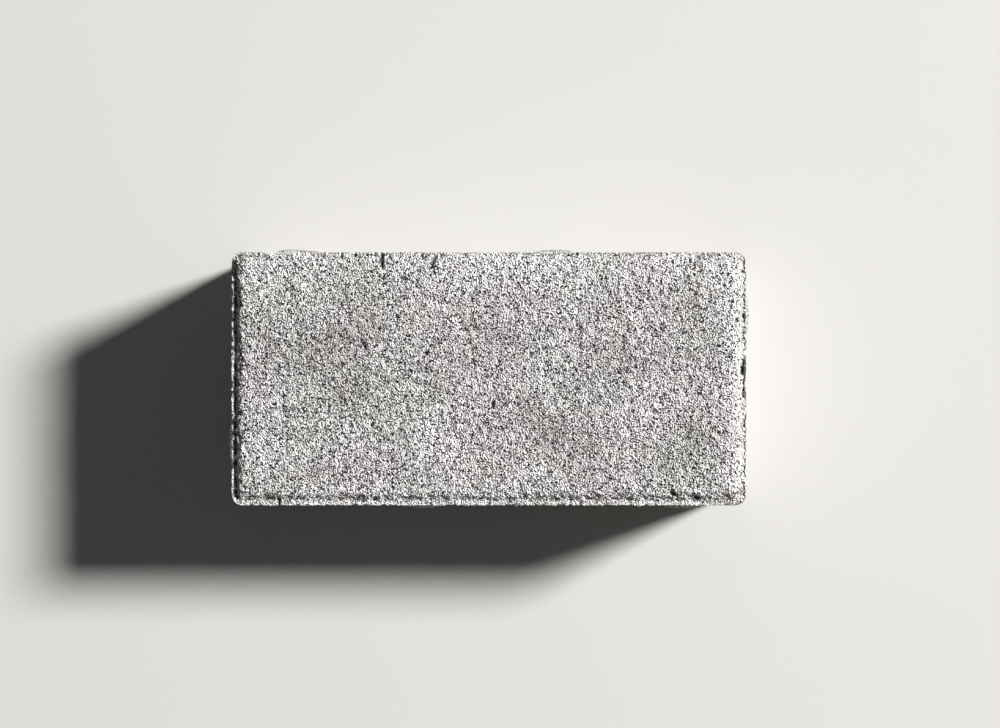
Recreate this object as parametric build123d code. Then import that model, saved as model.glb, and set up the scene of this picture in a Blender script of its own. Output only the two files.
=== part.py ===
from build123d import *

import math
import os

# A dense concrete paving stone, pressed in one piece in a steel mould, so it is one solid.
# It is made for a laying grid of 200 by 100 mm. All sizes are in millimetres.
# The origin is the middle of the bed face. +X runs along the stone, and +Z points up
# to the wearing face.

# Plan size and height of the stone between its upright walls
stone_length = 197.0
stone_width = 97.0
stone_height = 60.0
corner_radius = 4.5

# Top edge, from the wall inwards: a level ledge that the press plate leaves,
# then a bevel that rises to the wearing face over a rounded shoulder
ledge_width = 1.5
bevel_width = 2.6
bevel_drop = 2.1
shoulder_radius = 4.0
face_corner_radius = 3.2

# The press plate has play in the mould, and it came down a little off the middle,
# so the ledge is wider on the right and at the front than opposite
plate_shift_x = -0.35
plate_shift_y = 0.5

# Spacer nibs: low upright ribs that keep the joint open between laid stones
nib_stand_out = 1.3
nib_crest_width = 9.0
nib_flank_width = 5.0
nib_crest_round = 12.0
nib_foot_round = 8.0
nib_top_gap = 0.5
nib_top_slope_height = 2.5
nib_root_depth = 3.0

# Nib centres along a wall, as shares of that wall from its left end, seen from the stone's
# middle. At these shares, the nibs of two courses laid in half bond never meet.
long_wall_nib_shares = (1 / 8, 5 / 8)
short_wall_nib_shares = (1 / 4,)

ledge_level = stone_height - bevel_drop


def rounded_plan(inset, radius):
    """The stone's plan outline, drawn in from the walls by an inset."""
    return RectangleRounded(stone_length - 2 * inset, stone_width - 2 * inset, radius)


def lower_block():
    """The upright block, from the bed face to the ledge."""
    return extrude(rounded_plan(0, corner_radius), ledge_level)


def pressed_top():
    """The raised top: four bevels, their corners and the rounded shoulder round the wearing face."""
    bevel_foot = rounded_plan(ledge_width, corner_radius - ledge_width)
    wearing_face = rounded_plan(ledge_width + bevel_width, face_corner_radius)
    plate_place = Pos(plate_shift_x, plate_shift_y, 0)
    top = loft([Pos(0, 0, ledge_level) * bevel_foot, Pos(0, 0, stone_height) * wearing_face])
    return plate_place * fillet(top.edges().group_by(Axis.Z)[-1], shoulder_radius)


def nib_plan():
    """Plan of one nib against a wall that lies along the X axis, with the joint on its +Y side.

    Beyond each flank it runs on flush with the wall, which gives the foot's round something
    to meet.
    """
    crest_half = nib_crest_width / 2
    foot_half = crest_half + nib_flank_width
    flank_turn = math.atan2(nib_stand_out, nib_flank_width)
    foot_reach = foot_half + 2 * nib_foot_round * math.tan(flank_turn / 2)
    outline = Polyline(
        (-foot_reach, -nib_root_depth),
        (-foot_reach, 0),
        (-foot_half, 0),
        (-crest_half, nib_stand_out),
        (crest_half, nib_stand_out),
        (foot_half, 0),
        (foot_reach, 0),
        (foot_reach, -nib_root_depth),
        close=True,
    )
    plan = make_face(outline)
    crest_corners = plan.vertices().group_by(Axis.Y)[-1]
    plan = fillet(crest_corners, nib_crest_round)
    foot_corners = [
        corner
        for corner in plan.vertices()
        if abs(corner.Y) < 1e-6 and abs(abs(corner.X) - foot_half) < 1e-6
    ]
    return fillet(foot_corners, nib_foot_round)


def spacer_nib():
    """One nib, from the bed face up to a sloping end that runs back into the wall under the ledge."""
    rib_top = ledge_level - nib_top_gap
    slope_foot = rib_top - nib_top_slope_height
    rib = extrude(nib_plan(), rib_top)
    reach = nib_crest_width + 2 * nib_flank_width
    side_outline = Polyline(
        (-nib_root_depth, 0),
        (nib_stand_out, 0),
        (nib_stand_out, slope_foot),
        (0, rib_top),
        (-nib_root_depth, rib_top),
        close=True,
    )
    side_view = extrude(Plane.YZ * make_face(side_outline), reach, both=True)
    return rib & side_view


def nibs_on_wall(wall_length, wall_distance, shares, facing):
    """The nibs of one wall, turned to face outwards. Facing is the wall's turn about Z, in degrees."""
    nib = spacer_nib()
    return [
        Rot(0, 0, facing) * Pos((share - 0.5) * wall_length, wall_distance, 0) * nib
        for share in shares
    ]


def paving_stone():
    """The whole stone: opposite walls carry the same nibs, turned by half a circle."""
    stone = lower_block() + pressed_top()
    for half_turn in (0, 180):
        for nib in nibs_on_wall(stone_length, stone_width / 2, long_wall_nib_shares, half_turn):
            stone += nib
        for nib in nibs_on_wall(
            stone_width, stone_length / 2, short_wall_nib_shares, half_turn - 90
        ):
            stone += nib
    return stone


os.makedirs("parts", exist_ok=True)
export_step(paving_stone(), "parts/paving_stone.step")
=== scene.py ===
"""A pressed concrete paving stone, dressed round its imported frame.

The stone is one casting, so it is one closed skin with the sandy relief of its facing, and
beside it lie only the grains that stand out of that skin. All places are in metres, in the
frame's own axes: +X along the stone, +Z up to the wearing face.
"""

import logging
import math
from collections.abc import Callable
from dataclasses import dataclass, field, fields
from enum import Enum

import bpy
import numpy as np
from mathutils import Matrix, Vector


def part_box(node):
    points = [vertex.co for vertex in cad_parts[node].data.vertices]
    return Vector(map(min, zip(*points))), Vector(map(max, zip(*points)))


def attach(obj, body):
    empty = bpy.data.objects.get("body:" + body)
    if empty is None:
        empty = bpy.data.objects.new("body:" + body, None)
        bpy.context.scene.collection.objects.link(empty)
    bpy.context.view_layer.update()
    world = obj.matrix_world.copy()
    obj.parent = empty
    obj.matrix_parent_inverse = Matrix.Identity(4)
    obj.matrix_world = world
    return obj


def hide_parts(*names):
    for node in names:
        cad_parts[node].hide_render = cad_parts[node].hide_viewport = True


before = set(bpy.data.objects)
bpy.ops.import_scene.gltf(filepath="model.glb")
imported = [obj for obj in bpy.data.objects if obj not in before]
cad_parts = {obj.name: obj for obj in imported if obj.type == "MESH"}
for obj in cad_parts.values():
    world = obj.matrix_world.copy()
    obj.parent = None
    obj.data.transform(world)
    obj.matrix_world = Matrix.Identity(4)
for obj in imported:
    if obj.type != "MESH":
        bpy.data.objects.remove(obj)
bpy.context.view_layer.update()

MM = 0.001
IMAGE_WIDTH = 1000
IMAGE_HEIGHT = 728
# What the picture's width shows at the wearing face's level, and the place under its middle
PICTURE_WIDTH = 381.2 * MM
PICTURE_CENTRE = (4.2 * MM, 5.7 * MM)
NODE_NAME = "paving_stone"
BODY_NAME = "root"
BAKE_MAP = "OFBake"
GRAIN_TONE = "grain_tone"
# The colours of a noise or of a pattern's cells are spread evenly round this one
MIDDLE_COLOUR = (0.5, 0.5, 0.5)
# The sRGB curve: a straight toe up to its knee, and a power above it
SRGB_KNEE = 0.04045
SRGB_TOE = 12.92
SRGB_OFFSET = 0.055
SRGB_GAMMA = 2.4

log = logging.getLogger("paving_stone")

# What a node's input takes, and what gives a skin point its place on the bake map, from the
# point's number, its share of the way along its wall and the wall's number
Feed = bpy.types.Node | bpy.types.NodeSocket | float | tuple
MapPlace = Callable[[int, float, int], tuple[float, float]]


class Zone(Enum):
    """The parts of the skin that look different, each with the attribute that marks it."""

    FACE = "face"
    CREASE = "crease"
    ARRIS = "arris"
    WALL = "wall"
    BED = "bed"


class Note(Enum):
    """What else the skin's points tell the concrete's material, each with its attribute."""

    DEPTH = "depth"
    STAIN = "stain"
    TONE = "tone"


def linear(hex_colour: str) -> tuple[float, float, float, float]:
    """Turns an sRGB hex colour into the linear one that shaders take.

    Args:
        hex_colour: Six hex digits, with or without a leading hash.

    Returns:
        Linear red, green and blue, and an alpha of 1.
    """
    digits = hex_colour.lstrip("#")
    parts = [int(digits[place:place + 2], 16) / 255 for place in (0, 2, 4)]
    straight = [
        part / SRGB_TOE if part <= SRGB_KNEE else ((part + SRGB_OFFSET) / (1 + SRGB_OFFSET)) ** SRGB_GAMMA
        for part in parts
    ]
    return (*straight, 1.0)


def add_node(tree: bpy.types.NodeTree, kind: str, feeds: dict | None = None, **settings) -> bpy.types.Node:
    """Adds one node, sets it and feeds its inputs.

    Args:
        tree: The shader or geometry tree that gets the node.
        kind: Blender's name for the kind of node.
        feeds: What goes into each input, by the input's name or number: a value, an output
            socket, or a node, which stands for its first output.
        **settings: Properties of the node, set before its inputs.

    Returns:
        The new node.
    """
    node = tree.nodes.new(kind)
    for name, value in settings.items():
        setattr(node, name, value)
    for key, source in (feeds or {}).items():
        if isinstance(key, int):
            socket = node.inputs[key]
        else:
            socket = next(s for s in node.inputs if s.name == key and s.enabled)
        if isinstance(source, bpy.types.Node):
            source = next(s for s in source.outputs if s.enabled)
        if isinstance(source, bpy.types.NodeSocket):
            tree.links.new(source, socket)
        else:
            socket.default_value = source
    return node


def new_geometry_tree(name: str, inputs: dict[str, str]) -> tuple[bpy.types.NodeTree, bpy.types.Node]:
    """Makes an empty geometry tree with named inputs and one geometry output.

    Args:
        name: The tree's name.
        inputs: The socket type of each input, by its name.

    Returns:
        The tree, and the node that holds its inputs.
    """
    tree = bpy.data.node_groups.new(name, "GeometryNodeTree")
    for label, socket_type in inputs.items():
        tree.interface.new_socket(label, in_out="INPUT", socket_type=socket_type)
    tree.interface.new_socket("Geometry", in_out="OUTPUT", socket_type="NodeSocketGeometry")
    return tree, add_node(tree, "NodeGroupInput")


def new_material(name: str) -> tuple[bpy.types.Material, bpy.types.NodeTree]:
    """Makes a material with an empty tree.

    Args:
        name: The material's name.

    Returns:
        The material, and its tree.
    """
    material = bpy.data.materials.new(name)
    material.use_nodes = True
    material.node_tree.nodes.clear()
    return material, material.node_tree


def apply_tree(holder: bpy.types.Object, tree: bpy.types.NodeTree, values: dict) -> None:
    """Runs a geometry tree on an object and keeps the result as its plain mesh.

    Args:
        holder: The object that gets the tree's mesh.
        tree: The geometry tree.
        values: The value of each named input.
    """
    modifier = holder.modifiers.new(tree.name, "NODES")
    modifier.node_group = tree
    identifiers = {
        item.name: item.identifier for item in tree.interface.items_tree if item.in_out == "INPUT"
    }
    for label, value in values.items():
        modifier[identifiers[label]] = value
    depsgraph = bpy.context.evaluated_depsgraph_get()
    evaluated = holder.evaluated_get(depsgraph)
    mesh = bpy.data.meshes.new_from_object(evaluated, preserve_all_data_layers=True, depsgraph=depsgraph)
    holder.modifiers.clear()
    holder.data = mesh


def new_object(name: str, mesh: bpy.types.Mesh) -> bpy.types.Object:
    """Makes a linked object at the origin that shows a mesh.

    Args:
        name: The object's name.
        mesh: The mesh that it shows.

    Returns:
        The new object.
    """
    made = bpy.data.objects.new(name, mesh)
    bpy.context.scene.collection.objects.link(made)
    return made


def keep_in_box(mesh: bpy.types.Mesh, lowest: Vector, highest: Vector) -> None:
    """Presses whatever stands out of a box back to its sides, as the mould and plate do.

    Args:
        mesh: The mesh to press.
        lowest: The box's lowest corner.
        highest: The box's highest corner.
    """
    places = np.empty(len(mesh.vertices) * 3, np.float32)
    mesh.vertices.foreach_get("co", places)
    pressed = np.clip(places.reshape(-1, 3), np.array(lowest), np.array(highest))
    mesh.vertices.foreach_set("co", pressed.astype(np.float32).ravel())
    mesh.update()


def triangle_count(mesh: bpy.types.Mesh) -> int:
    """Counts the triangles that a mesh's faces make.

    Args:
        mesh: The mesh.

    Returns:
        Their number.
    """
    corners = np.empty(len(mesh.polygons), np.int32)
    mesh.polygons.foreach_get("loop_total", corners)
    return int((corners - 2).sum())


@dataclass(frozen=True)
class StoneSizes:
    """The stone's size between its upright walls, its plan and its pressed top edge, in metres."""

    half_length: float
    half_width: float
    height: float
    nib_stand_out: float = 1.3 * MM
    corner_radius: float = 4.5 * MM
    ledge_width: float = 1.5 * MM
    bevel_width: float = 2.6 * MM
    bevel_drop: float = 2.1 * MM
    shoulder_radius: float = 4.0 * MM
    face_corner_radius: float = 3.2 * MM
    plate_shift: tuple[float, float] = (-0.35 * MM, 0.5 * MM)

    @classmethod
    def from_frame(cls) -> "StoneSizes":
        """Takes the lengths from the frame's box, less the nibs that stand out of the walls.

        Returns:
            The stone's sizes.
        """
        lowest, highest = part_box(NODE_NAME)
        half = (highest - lowest) / 2
        return cls(half.x - cls.nib_stand_out, half.y - cls.nib_stand_out, highest.z - lowest.z)

    @property
    def bevel_slope(self) -> float:
        """The bevel's angle from level, in radians."""
        return math.atan2(self.bevel_drop, self.bevel_width)

    @property
    def shoulder_reach(self) -> float:
        """How far the shoulder's round runs on into the wearing face."""
        return self.shoulder_radius * math.tan(self.bevel_slope / 2)


@dataclass(frozen=True)
class SideShares:
    """How strongly a zone shows at the stone's left end, at its right end and on its long sides."""

    left: float
    right: float
    long_sides: float

    def times(self, factor: float) -> "SideShares":
        """The same shares, all scaled by a factor."""
        return SideShares(self.left * factor, self.right * factor, self.long_sides * factor)


@dataclass(frozen=True)
class Ring:
    """One closed row of the skin's points round the stone, with how much of each zone it is.

    Its inset is from the walls, its radius is that of its corners, and its shift is the share
    of the press plate's own shift that it follows.
    """

    inset: float
    level: float
    radius: float
    shift: float
    zones: dict[Zone, float | SideShares]


@dataclass
class StoneSkin:
    """The stone's skin as a net of mostly four-sided faces, finer where more relief shows.

    The wearing face is a grid. Rings run from its border down over the shoulder, bevel, ledge
    and walls, in half as many columns past the fine rings under the arris, and the bed face
    is a grid of half as many again. The crease lies on the last rings of the bevel and the
    first of the ledge, and the arris fades out over the fine rings under it.
    """

    sizes: StoneSizes = field(default_factory=StoneSizes.from_frame)
    face_columns: int = 336
    face_rows: int = 160
    edge_step: float = 0.5 * MM
    fine_wall_steps: tuple[float, ...] = (0.35 * MM, 0.45 * MM, 0.6 * MM)
    wall_step: float = 1.4 * MM
    bed_margin: float = 0.9 * MM
    jitter_share: float = 0.27
    bevel_sand: SideShares = SideShares(left=1.0, right=0.55, long_sides=1.15)
    ledge_sand: SideShares = SideShares(left=0.4, right=0.8, long_sides=0.4)
    arris_margin: float = 0.12 * MM
    # The crease's share by side: its groove, and the shade painted in it by its depth, are strongest at the
    # left end
    crease: SideShares = SideShares(left=0.9, right=0.5, long_sides=0.1)
    crease_rings: int = 2
    crease_on_ledge: float = 0.6
    arris_fade: float = 0.5
    seed: int = 7

    def top_rings(self) -> list[Ring]:
        """Lays out the rings from the wearing face's border to the arris at the ledge's outer edge.

        Returns:
            The rings, the innermost first.
        """
        s = self.sizes
        flat_inset = s.ledge_width + s.bevel_width + s.shoulder_reach
        rings = []
        arc_steps = max(2, round(s.shoulder_radius * s.bevel_slope / self.edge_step))
        for step in range(arc_steps + 1):
            turn = s.bevel_slope * step / arc_steps
            inset = flat_inset - s.shoulder_radius * math.sin(turn)
            level = s.height - s.shoulder_radius * (1 - math.cos(turn))
            rings.append(Ring(inset, level, s.face_corner_radius, 1.0, {Zone.FACE: 1.0}))
        run_start = rings[-1]
        ledge_level = s.height - s.bevel_drop
        run = math.hypot(run_start.inset - s.ledge_width, run_start.level - ledge_level)
        run_steps = max(2, round(run / self.edge_step))
        foot_radius = s.corner_radius - s.ledge_width
        for step in range(1, run_steps + 1):
            share = step / run_steps
            inset = run_start.inset + (s.ledge_width - run_start.inset) * share
            level = run_start.level + (ledge_level - run_start.level) * share
            radius = s.face_corner_radius + (foot_radius - s.face_corner_radius) * share
            crease = self.crease.times(max(0.0, 1 - (run_steps - step) / self.crease_rings))
            rings.append(Ring(inset, level, radius, 1.0, {Zone.FACE: self.bevel_sand, Zone.CREASE: crease}))
        ledge_steps = max(2, round(s.ledge_width / self.edge_step))
        shares = [step / ledge_steps for step in range(1, ledge_steps)]
        for share in (*shares, 1 - self.arris_margin / s.ledge_width, 1.0):
            inset = s.ledge_width * (1 - share)
            crease = self.crease.times(max(0.0, self.crease_on_ledge - share))
            zones = {Zone.FACE: self.ledge_sand, Zone.CREASE: crease, Zone.ARRIS: share}
            rings.append(Ring(inset, ledge_level, s.corner_radius - inset, 1 - share, zones))
        return rings

    def weights(self, places: np.ndarray, ring: Ring) -> dict[Zone, float | np.ndarray]:
        """How strongly each zone shows at the points of a ring, by the side that a point is on.

        Args:
            places: The ring's points.
            ring: The ring.

        Returns:
            One weight for all points, or one each, by zone.
        """
        middle = np.array(self.sizes.plate_shift) * ring.shift
        core = np.array([self.sizes.half_length, self.sizes.half_width]) - ring.inset - ring.radius
        flat = places[:, :2] - middle
        away = flat - np.clip(flat, -core, core)
        towards_end = (away[:, 0] / np.linalg.norm(away, axis=1)) ** 2
        weights = {}
        for zone, share in ring.zones.items():
            if isinstance(share, SideShares):
                at_end = np.where(away[:, 0] < 0, share.left, share.right)
                share = share.long_sides + (at_end - share.long_sides) * towards_end
            weights[zone] = share
        return weights

    def wall_levels(self) -> tuple[list[float], list[float]]:
        """Lays out the levels of the rings down the walls.

        Returns:
            The levels of the fine rings under the arris, and of the coarser ones below them.
        """
        level = self.sizes.height - self.sizes.bevel_drop
        fine = []
        for step in self.fine_wall_steps:
            level -= step
            fine.append(level)
        coarse_count = max(1, round(level / self.wall_step))
        coarse = [level * (1 - step / coarse_count) for step in range(1, coarse_count + 1)]
        return fine, coarse

    def loop_places(self, ring: Ring, columns: int, rows: int) -> np.ndarray:
        """Places a ring's points on a rounded rectangle, one for each border point of a grid.

        Args:
            ring: The ring.
            columns: Cells along the stone.
            rows: Cells across the stone.

        Returns:
            An array of points, counter-clockwise from the front left corner.
        """
        half_x = self.sizes.half_length - ring.inset
        half_y = self.sizes.half_width - ring.inset
        radius = ring.radius
        sides = ((0, columns, half_x, half_y), (1, rows, half_y, half_x),
                 (2, columns, half_x, half_y), (3, rows, half_y, half_x))
        eighth = radius * math.pi / 4
        loops = []
        for quarter, count, half_run, half_off in sides:
            length = 2 * (half_run - radius) + 2 * eighth
            along = np.arange(count) / count * length
            first = along < eighth
            last = along > length - eighth
            turn = np.where(first, -math.pi / 4 + along / radius, 0.0)
            turn = np.where(last, (along - (length - eighth)) / radius, turn)
            run = np.where(first, -(half_run - radius) + radius * np.sin(turn), along - length / 2)
            run = np.where(last, (half_run - radius) + radius * np.sin(turn), run)
            off = np.where(first | last, -(half_off - radius) - radius * np.cos(turn), -half_off)
            angle = quarter * math.pi / 2
            x = run * math.cos(angle) - off * math.sin(angle)
            y = run * math.sin(angle) + off * math.cos(angle)
            loops.append(np.stack([x, y, np.full(count, ring.level)], 1))
        places = np.concatenate(loops)
        places[:, 0] += self.sizes.plate_shift[0] * ring.shift
        places[:, 1] += self.sizes.plate_shift[1] * ring.shift
        return places

    @staticmethod
    def filled_grid(border: np.ndarray, columns: int, rows: int) -> np.ndarray:
        """Fills a closed border with a grid whose lines run evenly from side to side.

        Args:
            border: The border's points, counter-clockwise from the first corner.
            columns: Cells along the first side.
            rows: Cells along the second side.

        Returns:
            Points of shape (rows + 1, columns + 1, 3).
        """
        front = border[:columns + 1]
        right = border[columns:columns + rows + 1]
        back = border[columns + rows:2 * columns + rows + 1][::-1]
        left = np.concatenate([border[2 * columns + rows:], border[:1]])[::-1]
        u = np.linspace(0, 1, columns + 1)[None, :, None]
        v = np.linspace(0, 1, rows + 1)[:, None, None]
        across = (1 - v) * front[None] + v * back[None]
        along = (1 - u) * left[:, None] + u * right[:, None]
        corners = (1 - u) * (1 - v) * front[0] + u * (1 - v) * front[-1]
        corners = corners + (1 - u) * v * back[0] + u * v * back[-1]
        return across + along - corners

    def build(self, name: str) -> bpy.types.Object:
        """Makes the net as an object, with its zones as attributes and its bake map.

        Args:
            name: The object's name.

        Returns:
            The new object, at the origin.
        """
        net = SkinNet(self)
        mesh = bpy.data.meshes.new(name)
        mesh.from_pydata(net.points.tolist(), [], net.faces)
        for zone in Zone:
            attribute = mesh.attributes.new(zone.value, "FLOAT", "POINT")
            attribute.data.foreach_set("value", net.zones[zone].astype(np.float32))
        layer = mesh.uv_layers.new(name=BAKE_MAP)
        layer.uv.foreach_set("vector", np.array(net.corner_places, np.float32).ravel())
        mesh.shade_smooth()
        mesh.update()
        return new_object(name, mesh)


class SkinNet:
    """Collects the skin's points, faces, zones and places on the bake map, row by row."""

    # Each patch of the bake map, as shares of the map: its lower left corner, and its scale
    TOP_MAP = (0.0, 0.505, 1.0)
    BED_MAP = (0.0, 0.1, 0.5)
    MAP_MIDDLE = (0.5, 0.25)
    MAP_SQUEEZE = 0.98
    WALL_MAP_SCALE = 0.5
    WALL_MAP_CORNERS = ((0.0, 0.352), (0.503, 0.2), (0.503, 0.352), (0.752, 0.2))

    def __init__(self, skin: StoneSkin) -> None:
        """Builds the whole net of a skin.

        Args:
            skin: The skin's sizes and cells.
        """
        self.skin = skin
        self.points = np.zeros((0, 3))
        self.faces: list[tuple[int, ...]] = []
        self.corner_places: list[tuple[float, float]] = []
        self.zones = {zone: np.zeros(0) for zone in Zone}
        self.span = 2 * skin.sizes.half_length + 2 * skin.sizes.nib_stand_out
        columns, rows = skin.face_columns, skin.face_rows
        top_rings = skin.top_rings()
        loops = [skin.loop_places(ring, columns, rows) for ring in top_rings]
        ring_numbers = [self.add_face_grid(loops[0], columns, rows)]
        for ring, loop in zip(top_rings[1:], loops[1:]):
            ring_numbers.append(self.add_points(loop, skin.weights(loop, ring)))
            self.join_rings(ring_numbers[-2], ring_numbers[-1], self.on_top)
        self.add_walls(ring_numbers[-1], columns, rows)

    def add_points(self, places: np.ndarray, weights: dict[Zone, float | np.ndarray]) -> np.ndarray:
        """Adds points with their zones' weights.

        Args:
            places: The points' places.
            weights: One weight for all points, or one each, by zone.

        Returns:
            The points' numbers.
        """
        first = len(self.points)
        self.points = np.concatenate([self.points, places])
        for zone in Zone:
            fresh = np.zeros(len(places)) + weights.get(zone, 0.0)
            self.zones[zone] = np.concatenate([self.zones[zone], fresh])
        return np.arange(first, first + len(places))

    def add_face(self, corners: tuple[int, ...], places: list[tuple[float, float]]) -> None:
        """Adds one face and the places of its corners on the bake map."""
        self.faces.append(corners)
        self.corner_places.extend(places)

    def seen_from_above(self, number: int, patch: tuple[float, float, float]) -> tuple[float, float]:
        """Places a point on a patch of the map that shows the stone from above.

        Args:
            number: The point's number.
            patch: The patch's lower left corner and its scale.

        Returns:
            The point's place on the map.
        """
        left, low, scale = patch
        middle_x, middle_y = self.MAP_MIDDLE
        x, y, _ = self.points[number]
        across = (x / self.span + middle_x) * scale
        up = (y / self.span + middle_y) * scale * self.MAP_SQUEEZE
        return left + across, low + up

    def on_top(self, number: int, _share: float, _side: int) -> tuple[float, float]:
        """Place of a point on the map's patch for the face."""
        return self.seen_from_above(number, self.TOP_MAP)

    def on_bed(self, number: int, _share: float, _side: int) -> tuple[float, float]:
        """Place of a point on the map's patch for the bed."""
        return self.seen_from_above(number, self.BED_MAP)

    def on_wall(self, number: int, share: float, side: int) -> tuple[float, float]:
        """Places a point on the map's patch for its wall, rolled out flat.

        Args:
            number: The point's number.
            share: How far along the wall the point lies, as a share of the wall.
            side: The wall's number, counter-clockwise from the front.

        Returns:
            The point's place on the map.
        """
        left, low = self.WALL_MAP_CORNERS[side]
        run = (2 * self.skin.sizes.half_length) if side % 2 == 0 else (2 * self.skin.sizes.half_width)
        level = self.points[number][2]
        scale = self.WALL_MAP_SCALE / self.span
        return left + share * run * scale, low + level * scale

    def add_face_grid(self, border: np.ndarray, columns: int, rows: int) -> np.ndarray:
        """Adds the wearing face, with its inner points a little out of line.

        Args:
            border: The face's border, counter-clockwise from the front left corner.
            columns: Cells along the stone.
            rows: Cells across the stone.

        Returns:
            The numbers of the border's points.
        """
        skin = self.skin
        grid = skin.filled_grid(border, columns, rows)
        step = 2 * skin.sizes.half_length / columns
        random = np.random.default_rng(skin.seed)
        moves = random.uniform(-1, 1, grid[1:-1, 1:-1, :2].shape) * step * skin.jitter_share
        grid[1:-1, 1:-1, :2] += moves
        numbers = self.add_points(grid.reshape(-1, 3), {Zone.FACE: 1.0}).reshape(rows + 1, columns + 1)
        self.fill(numbers, self.on_top, upwards=True)
        return self.border_of(numbers)

    def fill(self, numbers: np.ndarray, place: MapPlace, upwards: bool) -> None:
        """Adds the faces of a grid of points.

        Args:
            numbers: The points' numbers, row by row.
            place: What gives the points their places on the map.
            upwards: Whether the faces look up, and not down.
        """
        rows, columns = numbers.shape
        for row in range(rows - 1):
            for column in range(columns - 1):
                corners = [
                    int(numbers[row, column]), int(numbers[row, column + 1]),
                    int(numbers[row + 1, column + 1]), int(numbers[row + 1, column]),
                ]
                if not upwards:
                    corners.reverse()
                self.add_face(tuple(corners), [place(corner, 0, 0) for corner in corners])

    @staticmethod
    def border_of(numbers: np.ndarray) -> np.ndarray:
        """A grid's border, counter-clockwise from its first point."""
        return np.concatenate([
            numbers[0, :-1], numbers[:-1, -1], numbers[-1, :0:-1], numbers[:0:-1, 0],
        ])

    def side_of(self, column: int, count: int) -> tuple[int, float, float]:
        """Finds the wall that a column of faces belongs to.

        Args:
            column: The column's number, counter-clockwise from the front left corner.
            count: How many columns go round the stone.

        Returns:
            The wall's number, and the shares of the wall at which the column starts and ends.
        """
        columns, rows = self.skin.face_columns, self.skin.face_rows
        scale = count / (2 * (columns + rows))
        lengths = [round(columns * scale), round(rows * scale)] * 2
        for side, length in enumerate(lengths):
            if column < length:
                return side, column / length, (column + 1) / length
            column -= length
        raise ValueError("the column lies past the last wall")

    def join_rings(self, upper: np.ndarray, lower: np.ndarray, place: MapPlace) -> None:
        """Joins two rings of as many points with four-sided faces that look outwards.

        Args:
            upper: The upper ring's point numbers.
            lower: The lower ring's point numbers.
            place: What gives the points their places on the map.
        """
        count = len(upper)
        for column in range(count):
            after = (column + 1) % count
            side, start, end = self.side_of(column, count)
            corners = (int(lower[column]), int(lower[after]), int(upper[after]), int(upper[column]))
            shares = (start, end, end, start)
            self.add_face(corners, [place(c, s, side) for c, s in zip(corners, shares)])

    def halve_ring(self, upper: np.ndarray, lower: np.ndarray, place: MapPlace) -> None:
        """Joins a ring to one below it of half as many points, with three triangles for each pair.

        Args:
            upper: The upper ring's point numbers.
            lower: The lower ring's point numbers.
            place: What gives the points their places on the map.
        """
        count = len(lower)
        for column in range(count):
            after = (column + 1) % count
            side, start, end = self.side_of(column, count)
            middle = (start + end) / 2
            left, centre, right = (int(upper[(2 * column + step) % (2 * count)]) for step in range(3))
            below, below_after = int(lower[column]), int(lower[after])
            for corners, shares in (
                ((below, centre, left), (start, middle, start)),
                ((below, below_after, centre), (start, end, middle)),
                ((below_after, right, centre), (end, end, middle)),
            ):
                self.add_face(corners, [place(c, s, side) for c, s in zip(corners, shares)])

    def add_walls(self, arris: np.ndarray, columns: int, rows: int) -> None:
        """Adds the walls from the arris down, and closes the skin with the bed face.

        Args:
            arris: The numbers of the points on the arris.
            columns: Cells along the stone at the arris.
            rows: Cells across the stone at the arris.
        """
        skin = self.skin
        radius = skin.sizes.corner_radius
        wall_columns, wall_rows = columns // 2, rows // 2
        bed_columns, bed_rows = wall_columns // 2, wall_rows // 2
        fine, coarse = skin.wall_levels()
        upper = arris
        for step, level in enumerate(fine):
            ring = Ring(0, level, radius, 0, {Zone.WALL: 1.0, Zone.ARRIS: skin.arris_fade ** (step + 1)})
            lower = self.add_points(skin.loop_places(ring, columns, rows), ring.zones)
            self.join_rings(upper, lower, self.on_wall)
            upper = lower
        for step, level in enumerate(coarse):
            bed_arris = 1.0 if step == len(coarse) - 1 else 0.0
            ring = Ring(0, level, radius, 0, {Zone.WALL: 1.0 - bed_arris, Zone.ARRIS: bed_arris})
            lower = self.add_points(skin.loop_places(ring, wall_columns, wall_rows), ring.zones)
            if step == 0:
                self.halve_ring(upper, lower, self.on_wall)
            else:
                self.join_rings(upper, lower, self.on_wall)
            upper = lower
        ring = Ring(skin.bed_margin, 0, radius - skin.bed_margin, 0, {Zone.BED: 1.0})
        inner = skin.loop_places(ring, bed_columns, bed_rows)
        grid = skin.filled_grid(inner, bed_columns, bed_rows)
        numbers = self.add_points(grid.reshape(-1, 3), {Zone.BED: 1.0}).reshape(grid.shape[:2])
        self.fill(numbers, self.on_bed, upwards=False)
        self.halve_ring(upper, self.border_of(numbers), self.on_bed)


@dataclass(frozen=True)
class Hollows:
    """A pattern of soft hollows: its name among the relief's sizes, and where the ground sinks.

    The pattern's value runs from 0 to 1. At the start the ground begins to sink, and at the
    end a hollow is as deep as it gets. The detail is how many finer patterns are laid over it.
    """

    name: str
    start: float
    end: float
    detail: float = 0.0


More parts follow.
